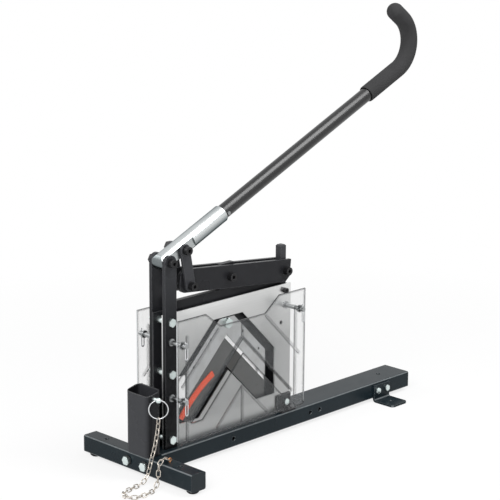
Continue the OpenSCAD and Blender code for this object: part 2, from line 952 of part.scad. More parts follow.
// Rims on the inner face along the slot's upper edges
module slot_rims() {
    slant = rib_t * sqrt2;
    for (s = [-1, 1])
        polygon([
            [cut_x, slot_top], [cut_x + s * slot_outer, slot_end],
            [cut_x + s * slot_outer, slot_end + slant], [cut_x, slot_top + slant]
        ]);
}

module guard_sheet() {
    y_in = -guard_y + guard_t;
    slab(-guard_y, y_in)
        guard_outline();
    slab(y_in, y_in + rib_deep)
        guard_ribs();
    slab(y_in, y_in + rim_deep)
        slot_rims();
}

module front_guard() {
    color("#dfe6ea", 0.35)
        guard_sheet();
}

module rear_guard() {
    color("#dfe6ea", 0.35)
        mirror([0, 1, 0])
            guard_sheet();
}

// One guard pin: spigot in its seat, collars on the seat and behind the guard, cross hole at the end
module guard_pin(x, z, seat_y, spigot_y) {
    y_in = -guard_y + guard_t;
    y_end = -guard_y - pin_past;
    difference() {
        union() {
            rod_y(x, z, y_end, -seat_y, guard_pin_d);
            rod_y(x, z, y_in, y_in + pin_collar_t, pin_collar_d);
            rod_y(x, z, -seat_y - pin_collar_t, -seat_y, pin_collar_d);
            rod_y(x, z, -seat_y, -spigot_y, spigot_share * guard_pin_d);
        }
        rod_z(x, y_end + pin_past / 2, z - guard_pin_d, z + guard_pin_d, clip_wire + 2 * fix_gap);
    }
}

module guard_pins() {
    color("#b9bcbe")
    for (s = [0, 1])
        mirror([0, s, 0]) {
            for (z = left_pin_z)
                guard_pin(upright_x, z, out_y, in_y);
            guard_pin(post_x, right_pin_z, in_y, post_size / 4);
        }
}

// Hairpin clip in X and Z: a straight leg through the pin and a leg that hugs it
module hairpin(x, y, z) {
    hug = guard_pin_d / 2 + clip_wire / 2 + 0.4;
    leg_top = guard_pin_d / 2 + 6;
    leg_low = -26;
    translate([x, y, z]) {
        rod_z(0, 0, leg_low, leg_top, clip_wire);
        translate([hug / 2, 0, leg_low])
            rotate([-90, 0, 0])
                rotate_extrude(angle = 180)
                    translate([hug / 2, 0])
                        circle(d = clip_wire, $fn = 24);
        rod_z(hug, 0, leg_low, 0, clip_wire);
        rotate([90, 0, 0])
            rotate_extrude(angle = 55)
                translate([hug, 0])
                    circle(d = clip_wire, $fn = 24);
    }
}

module hairpin_clips() {
    y = guard_y + pin_past / 2;
    color("#c2c5c7")
    for (s = [-1, 1]) {
        for (z = left_pin_z)
            hairpin(upright_x, s * y, z);
        hairpin(post_x, s * y, right_pin_z);
    }
}

// Lever
module pivot_bolt() {
    color("#16181b")
        cap_bolt_y(upright_x, pivot_h, -out_y, out_y + nut_h + thread_past, pin_d);
}

module pivot_nut() {
    color("#16181b")
        nut_y(upright_x, pivot_h, out_y, out_y + nut_h, pin_d);
}

module lever_socket() {
    color("#cfd3d5")
    lever_frame()
        difference() {
            union() {
                rod_y(0, 0, -lever_w / 2, lever_w / 2, 2 * nose_r);
                translate([0, -lever_w / 2, -nose_r + 2])
                    cube([socket_start + 2, lever_w, 2 * nose_r - 2]);
                rod_x(0, 0, socket_start, socket_end, socket_d);
            }
            rod_x(0, 0, socket_floor, socket_end + 1, handle_d + 2 * fix_gap);
            rod_y(0, 0, -lever_w, lever_w, pin_d + 2 * run_gap);
            rod_y(crank, 0, -lever_w, lever_w, pin_d + 2 * run_gap);
        }
}

// Tube along the handle's path: straight, bent, then straight again. The bend is a hair
// thinner and the straight runs reach into it, as a drawn bend does
module handle_path(start, tail, d) {
    rod_x(0, 0, start, bend_start + bend_lap, d);
    translate([bend_start, 0, bend_r]) {
        rotate([90, 0, 0])
            rotate([0, 0, -90])
                rotate_extrude(angle = bend_turn)
                    translate([bend_r, 0])
                        circle(d = d - bend_thin);
        rotate([0, -bend_turn, 0])
            rod_x(0, -bend_r, -bend_lap, tail, d);
    }
}

module handle_tube() {
    color("#33373b")
    lever_frame()
        difference() {
            handle_path(handle_in, handle_tail, handle_d);
            handle_path(handle_in - 1, handle_tail + 1, handle_d - 2 * handle_wall);
            rod_y(button_u, 0, -handle_d, 0, button_d + 2 * run_gap);
        }
}

module foam_grip() {
    color("#3a3b3d")
    lever_frame()
        difference() {
            union() {
                handle_path(grip_start, grip_tail, grip_d);
                translate([bend_start, 0, bend_r])
                    rotate([0, -bend_turn, 0])
                        translate([grip_tail, 0, -bend_r])
                            sphere(d = grip_d);
            }
            handle_path(grip_start - 1, handle_tail + 2, handle_d + 2 * fix_gap);
        }
}

// Spring button: it sits in the handle's wall and moves towards the middle
module snap_button() {
    inner = handle_d / 2 - handle_wall - 2;
    color("#4a4e52")
    lever_frame() {
        rod_y(button_u, 0, -handle_d / 2 - button_out, -inner, button_d);
        rod_y(button_u, 0, -inner, -inner + 1.6, button_d + 4);
    }
}

// Links
module link_bar(y0, y1) {
    translate([link_top_x, 0, link_top_z])
        rotate([0, -link_turn, 0])
            slab(y0, y1)
                difference() {
                    union() {
                        circle(d = link_w);
                        translate([0, -link_len])
                            circle(d = link_w);
                        translate([-link_w / 2, -link_len])
                            square([link_w, link_len]);
                    }
                    circle(d = pin_d + 2 * fix_gap);
                    translate([0, -link_len])
                        circle(d = pin_d + 2 * open_gap);
                }
}

module front_link() {
    color("#1d2024")
        link_bar(-link_y1, -link_y0);
}

module rear_link() {
    color("#1d2024")
        link_bar(link_y0, link_y1);
}

module link_bolt() {
    color("#16181b")
        cap_bolt_y(link_top_x, link_top_z, -link_y1, link_y1 + nut_h + thread_past, pin_d);
}

module link_nut() {
    color("#16181b")
        nut_y(link_top_x, link_top_z, link_y1, link_y1 + nut_h, pin_d);
}

// Beam: two bars that straddle the post and the carrier's tongue
module beam_bar(y0, y1) {
    tail = -link_reach - beam_past;
    round = 16;
    chamfer = 12;
    beam_frame()
        slab(y0, y1)
            difference() {
                union() {
                    polygon([
                        [tail + round, -beam_h / 2], [beam_nose - chamfer, -beam_h / 2],
                        [beam_nose, -beam_h / 2 + chamfer], [beam_nose, beam_h / 2],
                        [tail + round, beam_h / 2]
                    ]);
                    translate([tail, -beam_h / 2 + round])
                        square([round + 1, beam_h - 2 * round]);
                    for (s = [-1, 1])
                        translate([tail + round, s * (beam_h / 2 - round)])
                            circle(round);
                }
                for (p = [[0, 0], [-drive_reach, 0], [-link_reach, -link_drop]])
                    translate(p)
                        circle(d = pin_d + 2 * fix_gap);
            }
}

module front_beam_bar() {
    color("#1f2327")
        beam_bar(-bar_y1, -bar_y0);
}

module rear_beam_bar() {
    color("#1f2327")
        beam_bar(bar_y0, bar_y1);
}

module beam_spacer() {
    color("#8d9194")
    difference() {
        rod_y(link_low_x, link_low_z, -bar_y0, bar_y0, 1.7 * pin_d);
        rod_y(link_low_x, link_low_z, -bar_y0 - 1, bar_y0 + 1, pin_d + 2 * fix_gap);
    }
}

module beam_bolts() {
    color("#16181b") {
        cap_bolt_y(post_x, beam_pivot_h, -bar_y1, bar_y1 + nut_h + thread_past, pin_d);
        cap_bolt_y(drive_x, drive_z, -bar_y1, bar_y1 + nut_h + thread_past, pin_d);
        cap_bolt_y(link_low_x, link_low_z, -link_y1 - slide_gap,
                   link_y1 + slide_gap + nut_h + thread_past, pin_d);
    }
}

module beam_nuts() {
    color("#16181b") {
        nut_y(post_x, beam_pivot_h, bar_y1, bar_y1 + nut_h, pin_d);
        nut_y(drive_x, drive_z, bar_y1, bar_y1 + nut_h, pin_d);
        nut_y(link_low_x, link_low_z, link_y1 + slide_gap, link_y1 + slide_gap + nut_h, pin_d);
    }
}

// Carrier: slides between the plates, from the guide bar to the post
module blade_carrier() {
    x0 = guide_x1 + slide_gap;
    x1 = post_x0 - slide_gap;
    slot_x = drive_x - drive_reach * (1 - cos(beam_tilt)) / 2;
    slot_half_len = 1.4;
    color("#191b1e")
    difference() {
        slab(-carrier_t / 2, carrier_t / 2)
            difference() {
                union() {
                    polygon([
                        [x0, carrier_low], [cut_x - carrier_edge + carrier_low, carrier_low],
                        [cut_x, carrier_edge], [cut_x + carrier_edge - carrier_low, carrier_low],
                        [x1, carrier_low], [x1, carrier_top], [x0, carrier_top]
                    ]);
                    translate([drive_x - tongue_w / 2, carrier_top - 1])
                        square([tongue_w, tongue_top - carrier_top + 1]);
                }
                for (s = [-1, 1])
                    translate([slot_x + s * slot_half_len, drive_z])
                        circle(d = pin_d + 2 * slide_gap);
                translate([slot_x - slot_half_len, drive_z - pin_d / 2 - slide_gap])
                    square([2 * slot_half_len, pin_d + 2 * slide_gap]);
            }
        rod_y(cut_x, apex_bolt_z, -carrier_t, carrier_t, apex_bolt_d + 2 * fix_gap);
        for (s = [-1, 1], a = blade_screw_at)
            rod_y(cut_x + s * a, blade_back - a - blade_screw_set * sqrt2, -carrier_t, 2,
                  blade_screw_d + 2 * fix_gap);
    }
}

module blade_bar(side) {
    color("#b6babc")
    difference() {
        slab(blade_y0, blade_y1)
            polygon([
                [cut_x, blade_edge], [cut_x + side * blade_reach, blade_edge - blade_reach],
                [cut_x + side * blade_reach, blade_back - blade_reach],
                [cut_x + side * (blade_back - blade_top), blade_top], [cut_x, blade_top]
            ]);
        rod_y(cut_x, apex_bolt_z, blade_y0 - 1, blade_y1 + 1, apex_bolt_d + 2 * fix_gap);
        for (a = blade_screw_at)
            rod_y(cut_x + side * a, blade_back - a - blade_screw_set * sqrt2, blade_y0 - 1, blade_y1 + 1,
                  blade_screw_d + 2 * fix_gap);
    }
}

module left_blade() {
    blade_bar(-1);
}

module right_blade() {
    blade_bar(1);
}

module apex_bolt() {
    color("#c9ccce")
        hex_bolt_y(cut_x, apex_bolt_z, blade_y0, carrier_t / 2, apex_bolt_d, -1);
}

module blade_screws() {
    color("#1b1d20")
    for (s = [-1, 1], a = blade_screw_at)
        rod_y(cut_x + s * a, blade_back - a - blade_screw_set * sqrt2, blade_y0 + screw_sunk, 1,
              blade_screw_d);
}

// Lock pin with its ring, tethered by a chain to an eye in the foot
module lock_pin() {
    color("#b9bcbe")
    difference() {
        union() {
            rod_y(lock_x, lock_z, lock_head_y, lock_tip_y, lock_d);
            translate([lock_x, lock_head_y, lock_z])
                sphere(d = lock_head_d);
        }
        translate([lock_x, lock_head_y, lock_z])
            rotate([0, 0, -ring_turn])
                rod_x(0, 0, -lock_head_d, lock_head_d, ring_wire + 1.6);
    }
}

module pull_ring() {
    color("#c9ccce")
        translate([lock_x, lock_head_y, ring_z])
            rotate([0, 0, -ring_turn])
                rotate([90, 0, 0])
                    rotate_extrude()
                        translate([ring_r, 0])
                            circle(d = ring_wire, $fn = 24);
}

module chain_eye() {
    color("#b87a4b") {
        translate([eye_x, eye_y, eye_z])
            rotate([90, 0, 0])
                rotate_extrude()
                    translate([eye_r, 0])
                        circle(d = eye_wire, $fn = 24);
        rod_z(eye_x, eye_y, foot_top - tube_wall - 4, eye_z - eye_r, eye_wire + 1);
    }
}

// The route as a smooth curve through its points, and the length up to each step of it
route_end = len(chain_route) - 1;
function route_point(i) =
    i < 0 ? 2 * chain_route[0] - chain_route[1]
    : i > route_end ? 2 * chain_route[route_end] - chain_route[route_end - 1]
    : chain_route[i];
function curve(a, b, c, d, t) =
    0.5 * (2 * b + (c - a) * t + (2 * a - 5 * b + 4 * c - d) * t * t
    + (3 * b - a - 3 * c + d) * t * t * t);
route = [
    for (i = [0:route_end - 1], k = [0:route_steps - 1])
        curve(route_point(i - 1), route_point(i), route_point(i + 1), route_point(i + 2), k / route_steps),
    chain_route[route_end]
];
function route_runs(i = 0, sum = 0) =
    i == len(route) - 1 ? [sum]
    : concat([sum], route_runs(i + 1, sum + norm(route[i + 1] - route[i])));
runs = route_runs();
chain_len = runs[len(runs) - 1];
chain_count = floor(chain_len / chain_pitch);
chain_step = chain_len / chain_count;

// Point on the route at a given length
function route_leg(s, i = 0) = i == len(runs) - 2 || s < runs[i + 1] ? i : route_leg(s, i + 1);
function route_at(s) =
    let (i = route_leg(s))
    route[i] + (route[i + 1] - route[i]) * (s - runs[i]) / (runs[i + 1] - runs[i]);

module chain_link() {
    bend_x = (chain_inner_len - chain_inner_w) / 2;
    for (s = [-1, 1]) {
        rod_x(s * chain_r, 0, -bend_x, bend_x, chain_wire);
        translate([s * bend_x, 0, 0])
            rotate([0, 0, s * 90 - 180])
                rotate_extrude(angle = 180)
                    translate([chain_r, 0])
                        circle(d = chain_wire, $fn = 16);
    }
}

module tether_chain() {
    color("#a9adb0")
    for (i = [0:chain_count - 1]) {
        a = route_at(i * chain_step);
        b = route_at((i + 1) * chain_step);
        d = b - a;
        translate((a + b) / 2)
            rotate([0, -atan2(d[2], norm([d[0], d[1]])), atan2(d[1], d[0])])
                rotate([45 + 90 * (i % 2), 0, 0])
                    chain_link();
    }
}

module placed() {
    translate([-box_mid, 0, 0])
        children();
}

placed() base_tube();
placed() tube_end_plate();
placed() tail_cap();
placed() cross_foot();
placed() foot_caps();
placed() floor_pads();
placed() foot_bolts();
placed() foot_washers();
placed() tail_bracket();
placed() tail_bolts();
placed() tail_nuts();
placed() holder_cup();
placed() front_upright();
placed() rear_upright();
placed() upright_bolts();
placed() upright_spacers();
placed() upright_nuts();
placed() front_plate();
placed() rear_plate();
placed() guide_bar();
placed() post();
placed() plate_clips();
placed() clip_bolts();
placed() plate_screws();
placed() left_die();
placed() right_die();
placed() die_support();
placed() die_screws();
placed() warning_strip();
placed() front_guard();
placed() rear_guard();
placed() guard_pins();
placed() hairpin_clips();
placed() pivot_bolt();
placed() pivot_nut();
placed() lever_socket();
placed() handle_tube();
placed() foam_grip();
placed() snap_button();
placed() front_link();
placed() rear_link();
placed() link_bolt();
placed() link_nut();
placed() front_beam_bar();
placed() rear_beam_bar();
placed() beam_spacer();
placed() beam_bolts();
placed() beam_nuts();
placed() blade_carrier();
placed() left_blade();
placed() right_blade();
placed() apex_bolt();
placed() blade_screws();
placed() lock_pin();
placed() pull_ring();
placed() chain_eye();
placed() tether_chain();
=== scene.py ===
import json
import math

import bpy
from mathutils import Matrix, Vector


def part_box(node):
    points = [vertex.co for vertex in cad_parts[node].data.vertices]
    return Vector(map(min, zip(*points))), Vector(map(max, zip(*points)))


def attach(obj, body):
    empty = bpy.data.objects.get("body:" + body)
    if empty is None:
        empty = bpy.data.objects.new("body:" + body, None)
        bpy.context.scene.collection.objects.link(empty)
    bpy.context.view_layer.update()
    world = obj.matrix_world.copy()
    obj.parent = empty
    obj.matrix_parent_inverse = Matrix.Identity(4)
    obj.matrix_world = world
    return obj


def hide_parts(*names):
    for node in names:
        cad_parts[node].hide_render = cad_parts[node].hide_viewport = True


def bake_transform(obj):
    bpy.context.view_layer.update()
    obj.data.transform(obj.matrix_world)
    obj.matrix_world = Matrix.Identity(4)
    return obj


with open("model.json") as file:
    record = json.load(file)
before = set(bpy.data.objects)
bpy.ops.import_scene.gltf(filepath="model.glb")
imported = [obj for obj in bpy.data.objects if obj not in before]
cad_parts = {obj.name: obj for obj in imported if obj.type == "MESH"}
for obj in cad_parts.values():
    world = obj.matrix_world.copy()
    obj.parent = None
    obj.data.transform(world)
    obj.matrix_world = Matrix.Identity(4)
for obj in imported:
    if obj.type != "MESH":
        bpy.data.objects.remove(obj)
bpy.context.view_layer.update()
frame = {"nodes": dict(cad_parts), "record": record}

nodes = frame["nodes"]

# Places that the dressed pieces share with the solids, in metres

foot_low, foot_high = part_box("cross_foot")
pivot_low, pivot_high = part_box("pivot_bolt")
SHIFT_X = foot_low.x
FOOT_TOP = foot_high.z
FOOT_MID_Z = (foot_low.z + foot_high.z) / 2
UPRIGHT_X = (pivot_low.x + pivot_high.x) / 2
PIVOT_Z = (pivot_low.z + pivot_high.z) / 2
LEVER_ANGLE = math.radians(24)
LEVER_FRAME = (Matrix.Translation((UPRIGHT_X, 0, PIVOT_Z))
               @ Matrix.Rotation(-LEVER_ANGLE, 4, "Y"))
GUARD_INNER = 0.0594


# Camera and lamps

CAMERA_PLACE = (SHIFT_X - 2.210, -2.494, 1.303)
CAMERA_YAW, CAMERA_PITCH, CAMERA_ROLL = (math.radians(a) for a in (45.56, -13.83, 0.37))
CAMERA_LENS, CAMERA_SENSOR, CAMERA_REACH = 122.5, 36, 50

# Each lamp's place and aim, its width and length, and its watts
LAMPS = {
    "key_lamp": ((-2.8, -1.2, 2.2), (0, 0, 0.3), 1.8, 1.8, 74),
    "top_lamp": ((0.55, -1.05, 2.4), (0, 0, 0.5), 0.9, 1.5, 38),
    "back_lamp": ((-1.6, 2.6, 1.8), (0, 0, 0.4), 1.6, 1.6, 22),
}


def add_camera():
    level = math.cos(CAMERA_PITCH)
    ahead = Vector((math.sin(CAMERA_YAW) * level, math.cos(CAMERA_YAW) * level,
                    math.sin(CAMERA_PITCH)))
    right = Vector((math.cos(CAMERA_YAW), -math.sin(CAMERA_YAW), 0))
    up = right.cross(ahead)
    c, s = math.cos(CAMERA_ROLL), math.sin(CAMERA_ROLL)
    right, up = c * right + s * up, c * up - s * right
    camera = bpy.data.objects.new("camera", bpy.data.cameras.new("camera"))
    camera.data.sensor_width = CAMERA_SENSOR
    camera.data.lens = CAMERA_LENS
    camera.data.clip_end = CAMERA_REACH
    turn = Matrix((right, up, -ahead)).transposed().to_4x4()
    camera.matrix_world = Matrix.Translation(CAMERA_PLACE) @ turn
    bpy.context.collection.objects.link(camera)
    bpy.context.scene.camera = camera


def add_lamp(name, place, aim, width, length, watts):
    lamp = bpy.data.objects.new(name, bpy.data.lights.new(name, "AREA"))
    lamp.data.shape = "RECTANGLE"
    lamp.data.size = width
    lamp.data.size_y = length
    lamp.data.energy = watts
    lamp.location = place
    lamp.rotation_euler = (Vector(aim) - Vector(place)).to_track_quat("-Z", "Y").to_euler()
    bpy.context.collection.objects.link(lamp)


# Nodes of the finishes

class Field:
    """One output of a finish's nodes. Arithmetic on it adds Math nodes."""

    def __init__(self, finish, socket):
        self.finish = finish
        self.socket = socket

    def _math(self, operation, a, b):
        return self.finish.node("ShaderNodeMath", {"operation": operation}, {0: a, 1: b})

    def __add__(self, other):
        return self._math("ADD", self, other)

    __radd__ = __add__

    def __sub__(self, other):
        return self._math("SUBTRACT", self, other)

    def __rsub__(self, other):
        return self._math("SUBTRACT", other, self)

    def __mul__(self, other):
        return self._math("MULTIPLY", self, other)

    __rmul__ = __mul__

    def __gt__(self, other):
        return self._math("GREATER_THAN", self, other)


class Finish:
    """A material, or the world, built up one node at a time."""

    def __init__(self, name, kind=bpy.data.materials):
        self.owner = kind.new(name)
        self.owner.use_nodes = True
        self.tree = self.owner.node_tree
        self.tree.nodes.clear()

    def node(self, kind, settings=None, inputs=None, out=0):
        made = self.tree.nodes.new(kind)
        for key, value in (settings or {}).items():
            if key == "stops":
                for element, (place, grey) in zip(made.color_ramp.elements, value):
                    element.position = place
                    element.color = (grey, grey, grey, 1)
            else:
                setattr(made, key, value)
        for key, value in (inputs or {}).items():
            if isinstance(value, Field):
                self.tree.links.new(value.socket, made.inputs[key])
            else:
                made.inputs[key].default_value = value
        return Field(self, made.outputs[out]) if made.outputs else None

    def place(self, stretch=(1, 1, 1), turn=(0, 0, 0)):
        """Place on the piece, for a pattern that is turned and drawn out along its own axes."""
        point = self.node("ShaderNodeTexCoord", out="Object")
        return self.node("ShaderNodeMapping", {"vector_type": "TEXTURE"},
                         {"Vector": point, "Scale": stretch, "Rotation": turn})

    def noise(self, scale, detail=3, stretch=(1, 1, 1), turn=(0, 0, 0)):
        return self.node("ShaderNodeTexNoise", {}, {"Vector": self.place(stretch, turn),
                                                    "Scale": scale, "Detail": detail})

    def cells(self, scale):
        return self.node("ShaderNodeTexVoronoi", {}, {"Vector": self.place(), "Scale": scale})

    def ramp(self, value, low, high):
        return self.node("ShaderNodeValToRGB", {"stops": [(low, 0.0), (high, 1.0)]},
                         {"Fac": value})

    def mix(self, share, a, b):
        return self.node("ShaderNodeMix", {"data_type": "RGBA"}, {0: share, 6: a, 7: b}, out=2)

    def across(self, axis):
        """How squarely the face looks along one of the machine's axes, from -1 to 1."""
        normal = self.node("ShaderNodeTexCoord", out="Normal")
        return self.node("ShaderNodeSeparateXYZ", {}, {"Vector": normal}, out=axis)

    def along(self, axis):
        """Place along one of the machine's axes, in metres."""
        point = self.node("ShaderNodeTexCoord", out="Object")
        return self.node("ShaderNodeSeparateXYZ", {}, {"Vector": point}, out=axis)

    def size_of(self, value):
        return self.node("ShaderNodeMath", {"operation": "ABSOLUTE"}, {0: value})

    def larger(self, a, b):
        return self.node("ShaderNodeMath", {"operation": "MAXIMUM"}, {0: a, 1: b})

    def rounded(self, radius):
        """The face's direction, turned over near an edge as on a softened corner."""
        return self.node("ShaderNodeBevel", {"samples": 4}, {"Radius": radius})

    def near_edge(self, turned):
        """How near an edge the place is, from 0 on the open face to 1 at the corner."""
        flat = self.node("ShaderNodeNewGeometry", out="True Normal")
        square = self.node("ShaderNodeVectorMath", {"operation": "DOT_PRODUCT"},
                           {0: turned, 1: flat}, out="Value")
        return self.ramp(1 - square, 0.03, 0.24)

    def off_square(self):
        """How far the face is from looking straight along any axis, as on a rounded corner."""
        x, y, z = (self.size_of(self.across(axis)) for axis in "XYZ")
        return self.ramp(1 - self.larger(self.larger(x, y), z), 0.03, 0.14)

    def bump(self, height, depth, strength, turned=None):
        inputs = {"Height": height, "Distance": depth, "Strength": strength}
        if turned:
            inputs["Normal"] = turned
        return self.node("ShaderNodeBump", {}, inputs)

    def seen_rays(self):
        """1 for a ray from the camera, off a glossy face or through a clear one, and else 0."""
        camera, glossy, through = (
            self.node("ShaderNodeLightPath", out=ray)
            for ray in ("Is Camera Ray", "Is Glossy Ray", "Is Transmission Ray"))
        return camera + glossy + through

    def surface(self, **inputs):
        inputs = {key.replace("_", " "): value for key, value in inputs.items()}
        shader = self.node("ShaderNodeBsdfPrincipled", {}, inputs)
        self.node("ShaderNodeOutputMaterial", {}, {"Surface": shader})
        return self.owner


def rgb(r, g, b):
    return (r, g, b, 1)


# Finishes

COAT_DUST = rgb(0.14, 0.145, 0.15)
COAT_PAINTED_LIGHT = rgb(0.044, 0.0455, 0.050)
COAT_WEAR_AND_EDGE_HIGHLIGHT = rgb(0.24, 0.245, 0.255)
BASE_COAT_WEAR_AND_EDGE_HIGHLIGHT = rgb(0.26, 0.28, 0.29)


def painted(name, deep, pale, worn=COAT_WEAR_AND_EDGE_HIGHLIGHT, tube=False, painted_light=None):
    """Satin powder coat: orange-peel skin, cloudy gloss, dusty tops, corners pale as rubbed wear
    and as a painted edge highlight.
    """
    f = Finish(name)
    cloud = f.noise(9, 4)
    peel = f.noise(700, 2)
    dust = f.ramp(f.across("Z") * f.noise(30, 5), 0.45, 0.75)
    rubbed = f.ramp(f.noise(55, 6), 0.62, 0.76)
    turned = f.rounded(0.0018)
    # corner: edges, and on tubes the rounded corners, are paled as wear and as a painted edge
    # highlight
    corner = f.near_edge(turned)
    if tube:
        corner = f.larger(corner, f.off_square())
    corner = corner * (0.45 + 0.55 * f.noise(70, 4))
    coat = f.mix(dust * 0.10 + rubbed * 0.05, f.mix(cloud, deep, pale), COAT_DUST)
    # painted_light: a mask, given per finish, where the coat is lightened as painted light
    if painted_light:
        coat = f.mix(painted_light(f) * (0.8 + 0.2 * cloud), coat, COAT_PAINTED_LIGHT)
    return f.surface(Base_Color=f.mix(corner * 0.75, coat, worn),
                     Roughness=0.22 + 0.12 * cloud + 0.10 * dust, Specular_IOR_Level=0.12,
                     Normal=f.bump(peel, 0.00006, 0.3, turned))


def black_coat():
    return painted("black_coat", rgb(0.012, 0.0122, 0.0138), rgb(0.023, 0.0235, 0.0265))


def upright_coat():
    """Black coat darker than black_coat and lightened towards the top: painted shade low down,
    painted light high up.
    """
    return painted("upright_coat", rgb(0.0035, 0.0037, 0.0045), rgb(0.008, 0.0083, 0.0098),
                   painted_light=lambda f: 0.75 * f.ramp(f.along("Z") * 2, 0.54, 0.84))


def cup_coat():
    """Black coat darker than black_coat and lightened on the side turned to the foot's end of the
    machine: painted shade and painted light.
    """
    return painted("cup_coat", rgb(0.008, 0.0083, 0.0098), rgb(0.016, 0.0165, 0.0185),
                   painted_light=lambda f: f.ramp(0 - f.across("X"), 0.55, 0.95))


# A lighter copy of the black coat, for the links and the post: painted light.
def link_coat():
    return painted("link_coat", rgb(0.036, 0.037, 0.041), rgb(0.052, 0.053, 0.058))


def base_coat():
    return painted("base_coat", rgb(0.006, 0.012, 0.016), rgb(0.012, 0.020, 0.025),
                   BASE_COAT_WEAR_AND_EDGE_HIGHLIGHT, tube=True)


def black_plastic():
    f = Finish("black_plastic")
    grain = f.noise(1400, 2)
    cloud = f.noise(25, 3)
    return f.surface(Base_Color=f.mix(cloud, rgb(0.008, 0.013, 0.016), rgb(0.016, 0.022, 0.026)),
                     Roughness=0.5 + 0.15 * cloud, Specular_IOR_Level=0.25,
                     Normal=f.bump(grain, 0.00005, 0.6))


def pad_rubber():
    f = Finish("pad_rubber")
    grain = f.noise(900, 3)
    return f.surface(Base_Color=f.mix(grain, rgb(0.008, 0.008, 0.009), rgb(0.02, 0.02, 0.021)),
                     Roughness=0.75 + 0.15 * grain, Specular_IOR_Level=0.2,
                     Normal=f.bump(grain, 0.0001, 0.6))


def zinc():
    f = Finish("zinc")
    cloud = f.noise(60, 4)
    spangle = f.cells(420)
    turned = f.rounded(0.0016)
    tint = f.mix(cloud, rgb(0.60, 0.68, 0.67), rgb(0.78, 0.86, 0.845))
    # Edges darkened: painted shade.
    return f.surface(Base_Color=f.mix(f.near_edge(turned) * 0.75, tint, rgb(0.20, 0.22, 0.22)),
                     Metallic=1.0, Roughness=0.22 + 0.16 * cloud + 0.05 * spangle,
                     Normal=f.bump(spangle, 0.00003, 0.35, turned))


def pin_steel():
    f = Finish("pin_steel")
    cloud = f.noise(90, 4)
    lathe = f.noise(900, 2, (1, 30, 1))
    tint = f.mix(cloud, rgb(0.26, 0.27, 0.275), rgb(0.46, 0.47, 0.47))
    # edge: dark lines along the edges, painted shade
    edge = f.near_edge(f.rounded(0.0008))
    return f.surface(Base_Color=f.mix(edge * 0.7, tint, rgb(0.07, 0.072, 0.075)),
                     Metallic=1.0, Roughness=0.24 + 0.12 * cloud + 0.06 * lathe,
                     Normal=f.bump(lathe, 0.00003, 0.35))


def socket_zinc():
    """Zinc plate with drawing streaks, and painted shade underneath, at the back, on the rounded
    nose and along the edges.
    """
    f = Finish("socket_zinc")
    cloud = f.noise(22, 4)
    draw = f.noise(150, 4, (30, 1, 1), (0, -LEVER_ANGLE, 0))
    streak = f.ramp(draw, 0.35, 0.65)
    turned = f.rounded(0.0010)
    # Painted shade on faces looking down, looking backwards along Y and looking towards the nose.
    under = f.ramp(0.5 - 0.5 * f.across("Z"), 0.36, 0.72)
    behind = f.ramp(f.across("Y"), 0.10, 0.60)
    nose = f.ramp(0 - f.across("X"), 0.48, 0.86)
    painted_shade = f.larger(f.larger(under * 0.85, behind * 0.6), nose * 0.85)
    tint = f.mix(streak, rgb(0.48, 0.51, 0.52), rgb(0.62, 0.645, 0.64))
    plated = f.mix(cloud * 0.5, tint, rgb(0.76, 0.78, 0.78))
    shaded = f.mix(painted_shade, plated, rgb(0.13, 0.15, 0.155))
    # Edges darkened: painted shade.
    return f.surface(Base_Color=f.mix(f.near_edge(turned) * 0.8, shaded, rgb(0.10, 0.115, 0.12)),
                     Metallic=1.0, Specular_Tint=rgb(0.20, 0.23, 0.24),
                     Roughness=0.20 + 0.14 * cloud + 0.06 * draw,
                     Normal=f.bump(draw, 0.00003, 0.15, turned))


def bright_wire():
    f = Finish("bright_wire")
    cloud = f.noise(180, 3)
    # side: faces looking up or down are darkened, painted shade
    side = f.ramp(f.size_of(f.across("Z")), 0.35, 0.75)
    tint = f.mix(cloud, rgb(0.58, 0.59, 0.61), rgb(0.80, 0.81, 0.82))
    return f.surface(Base_Color=f.mix(side * 0.55, tint, rgb(0.10, 0.105, 0.11)), Metallic=1.0,
                     Specular_Tint=rgb(0.08, 0.085, 0.09), Roughness=0.14 + 0.14 * cloud)


def chain_wire():
    f = Finish("chain_wire")
    cloud = f.noise(90, 4)
    stain = f.ramp(f.noise(260, 4), 0.48, 0.68)
    tint = f.mix(cloud, rgb(0.40, 0.37, 0.33), rgb(0.66, 0.62, 0.56))
    return f.surface(Base_Color=f.mix(stain * 0.6, tint, rgb(0.22, 0.17, 0.13)), Metallic=1.0,
                     Roughness=0.24 + 0.16 * cloud)


def black_bolt():
    f = Finish("black_bolt")
    cloud = f.noise(150, 3)
    turned = f.rounded(0.0008)
    oxide = f.mix(cloud, rgb(0.005, 0.005, 0.006), rgb(0.014, 0.014, 0.015))
    # Edges paled: painted highlight.
    return f.surface(Base_Color=f.mix(f.near_edge(turned) * 0.6, oxide, rgb(0.10, 0.10, 0.102)),
                     Roughness=0.28 + 0.16 * cloud, Specular_IOR_Level=0.25,
                     Normal=f.bump(f.noise(1600, 2), 0.00003, 0.4, turned))


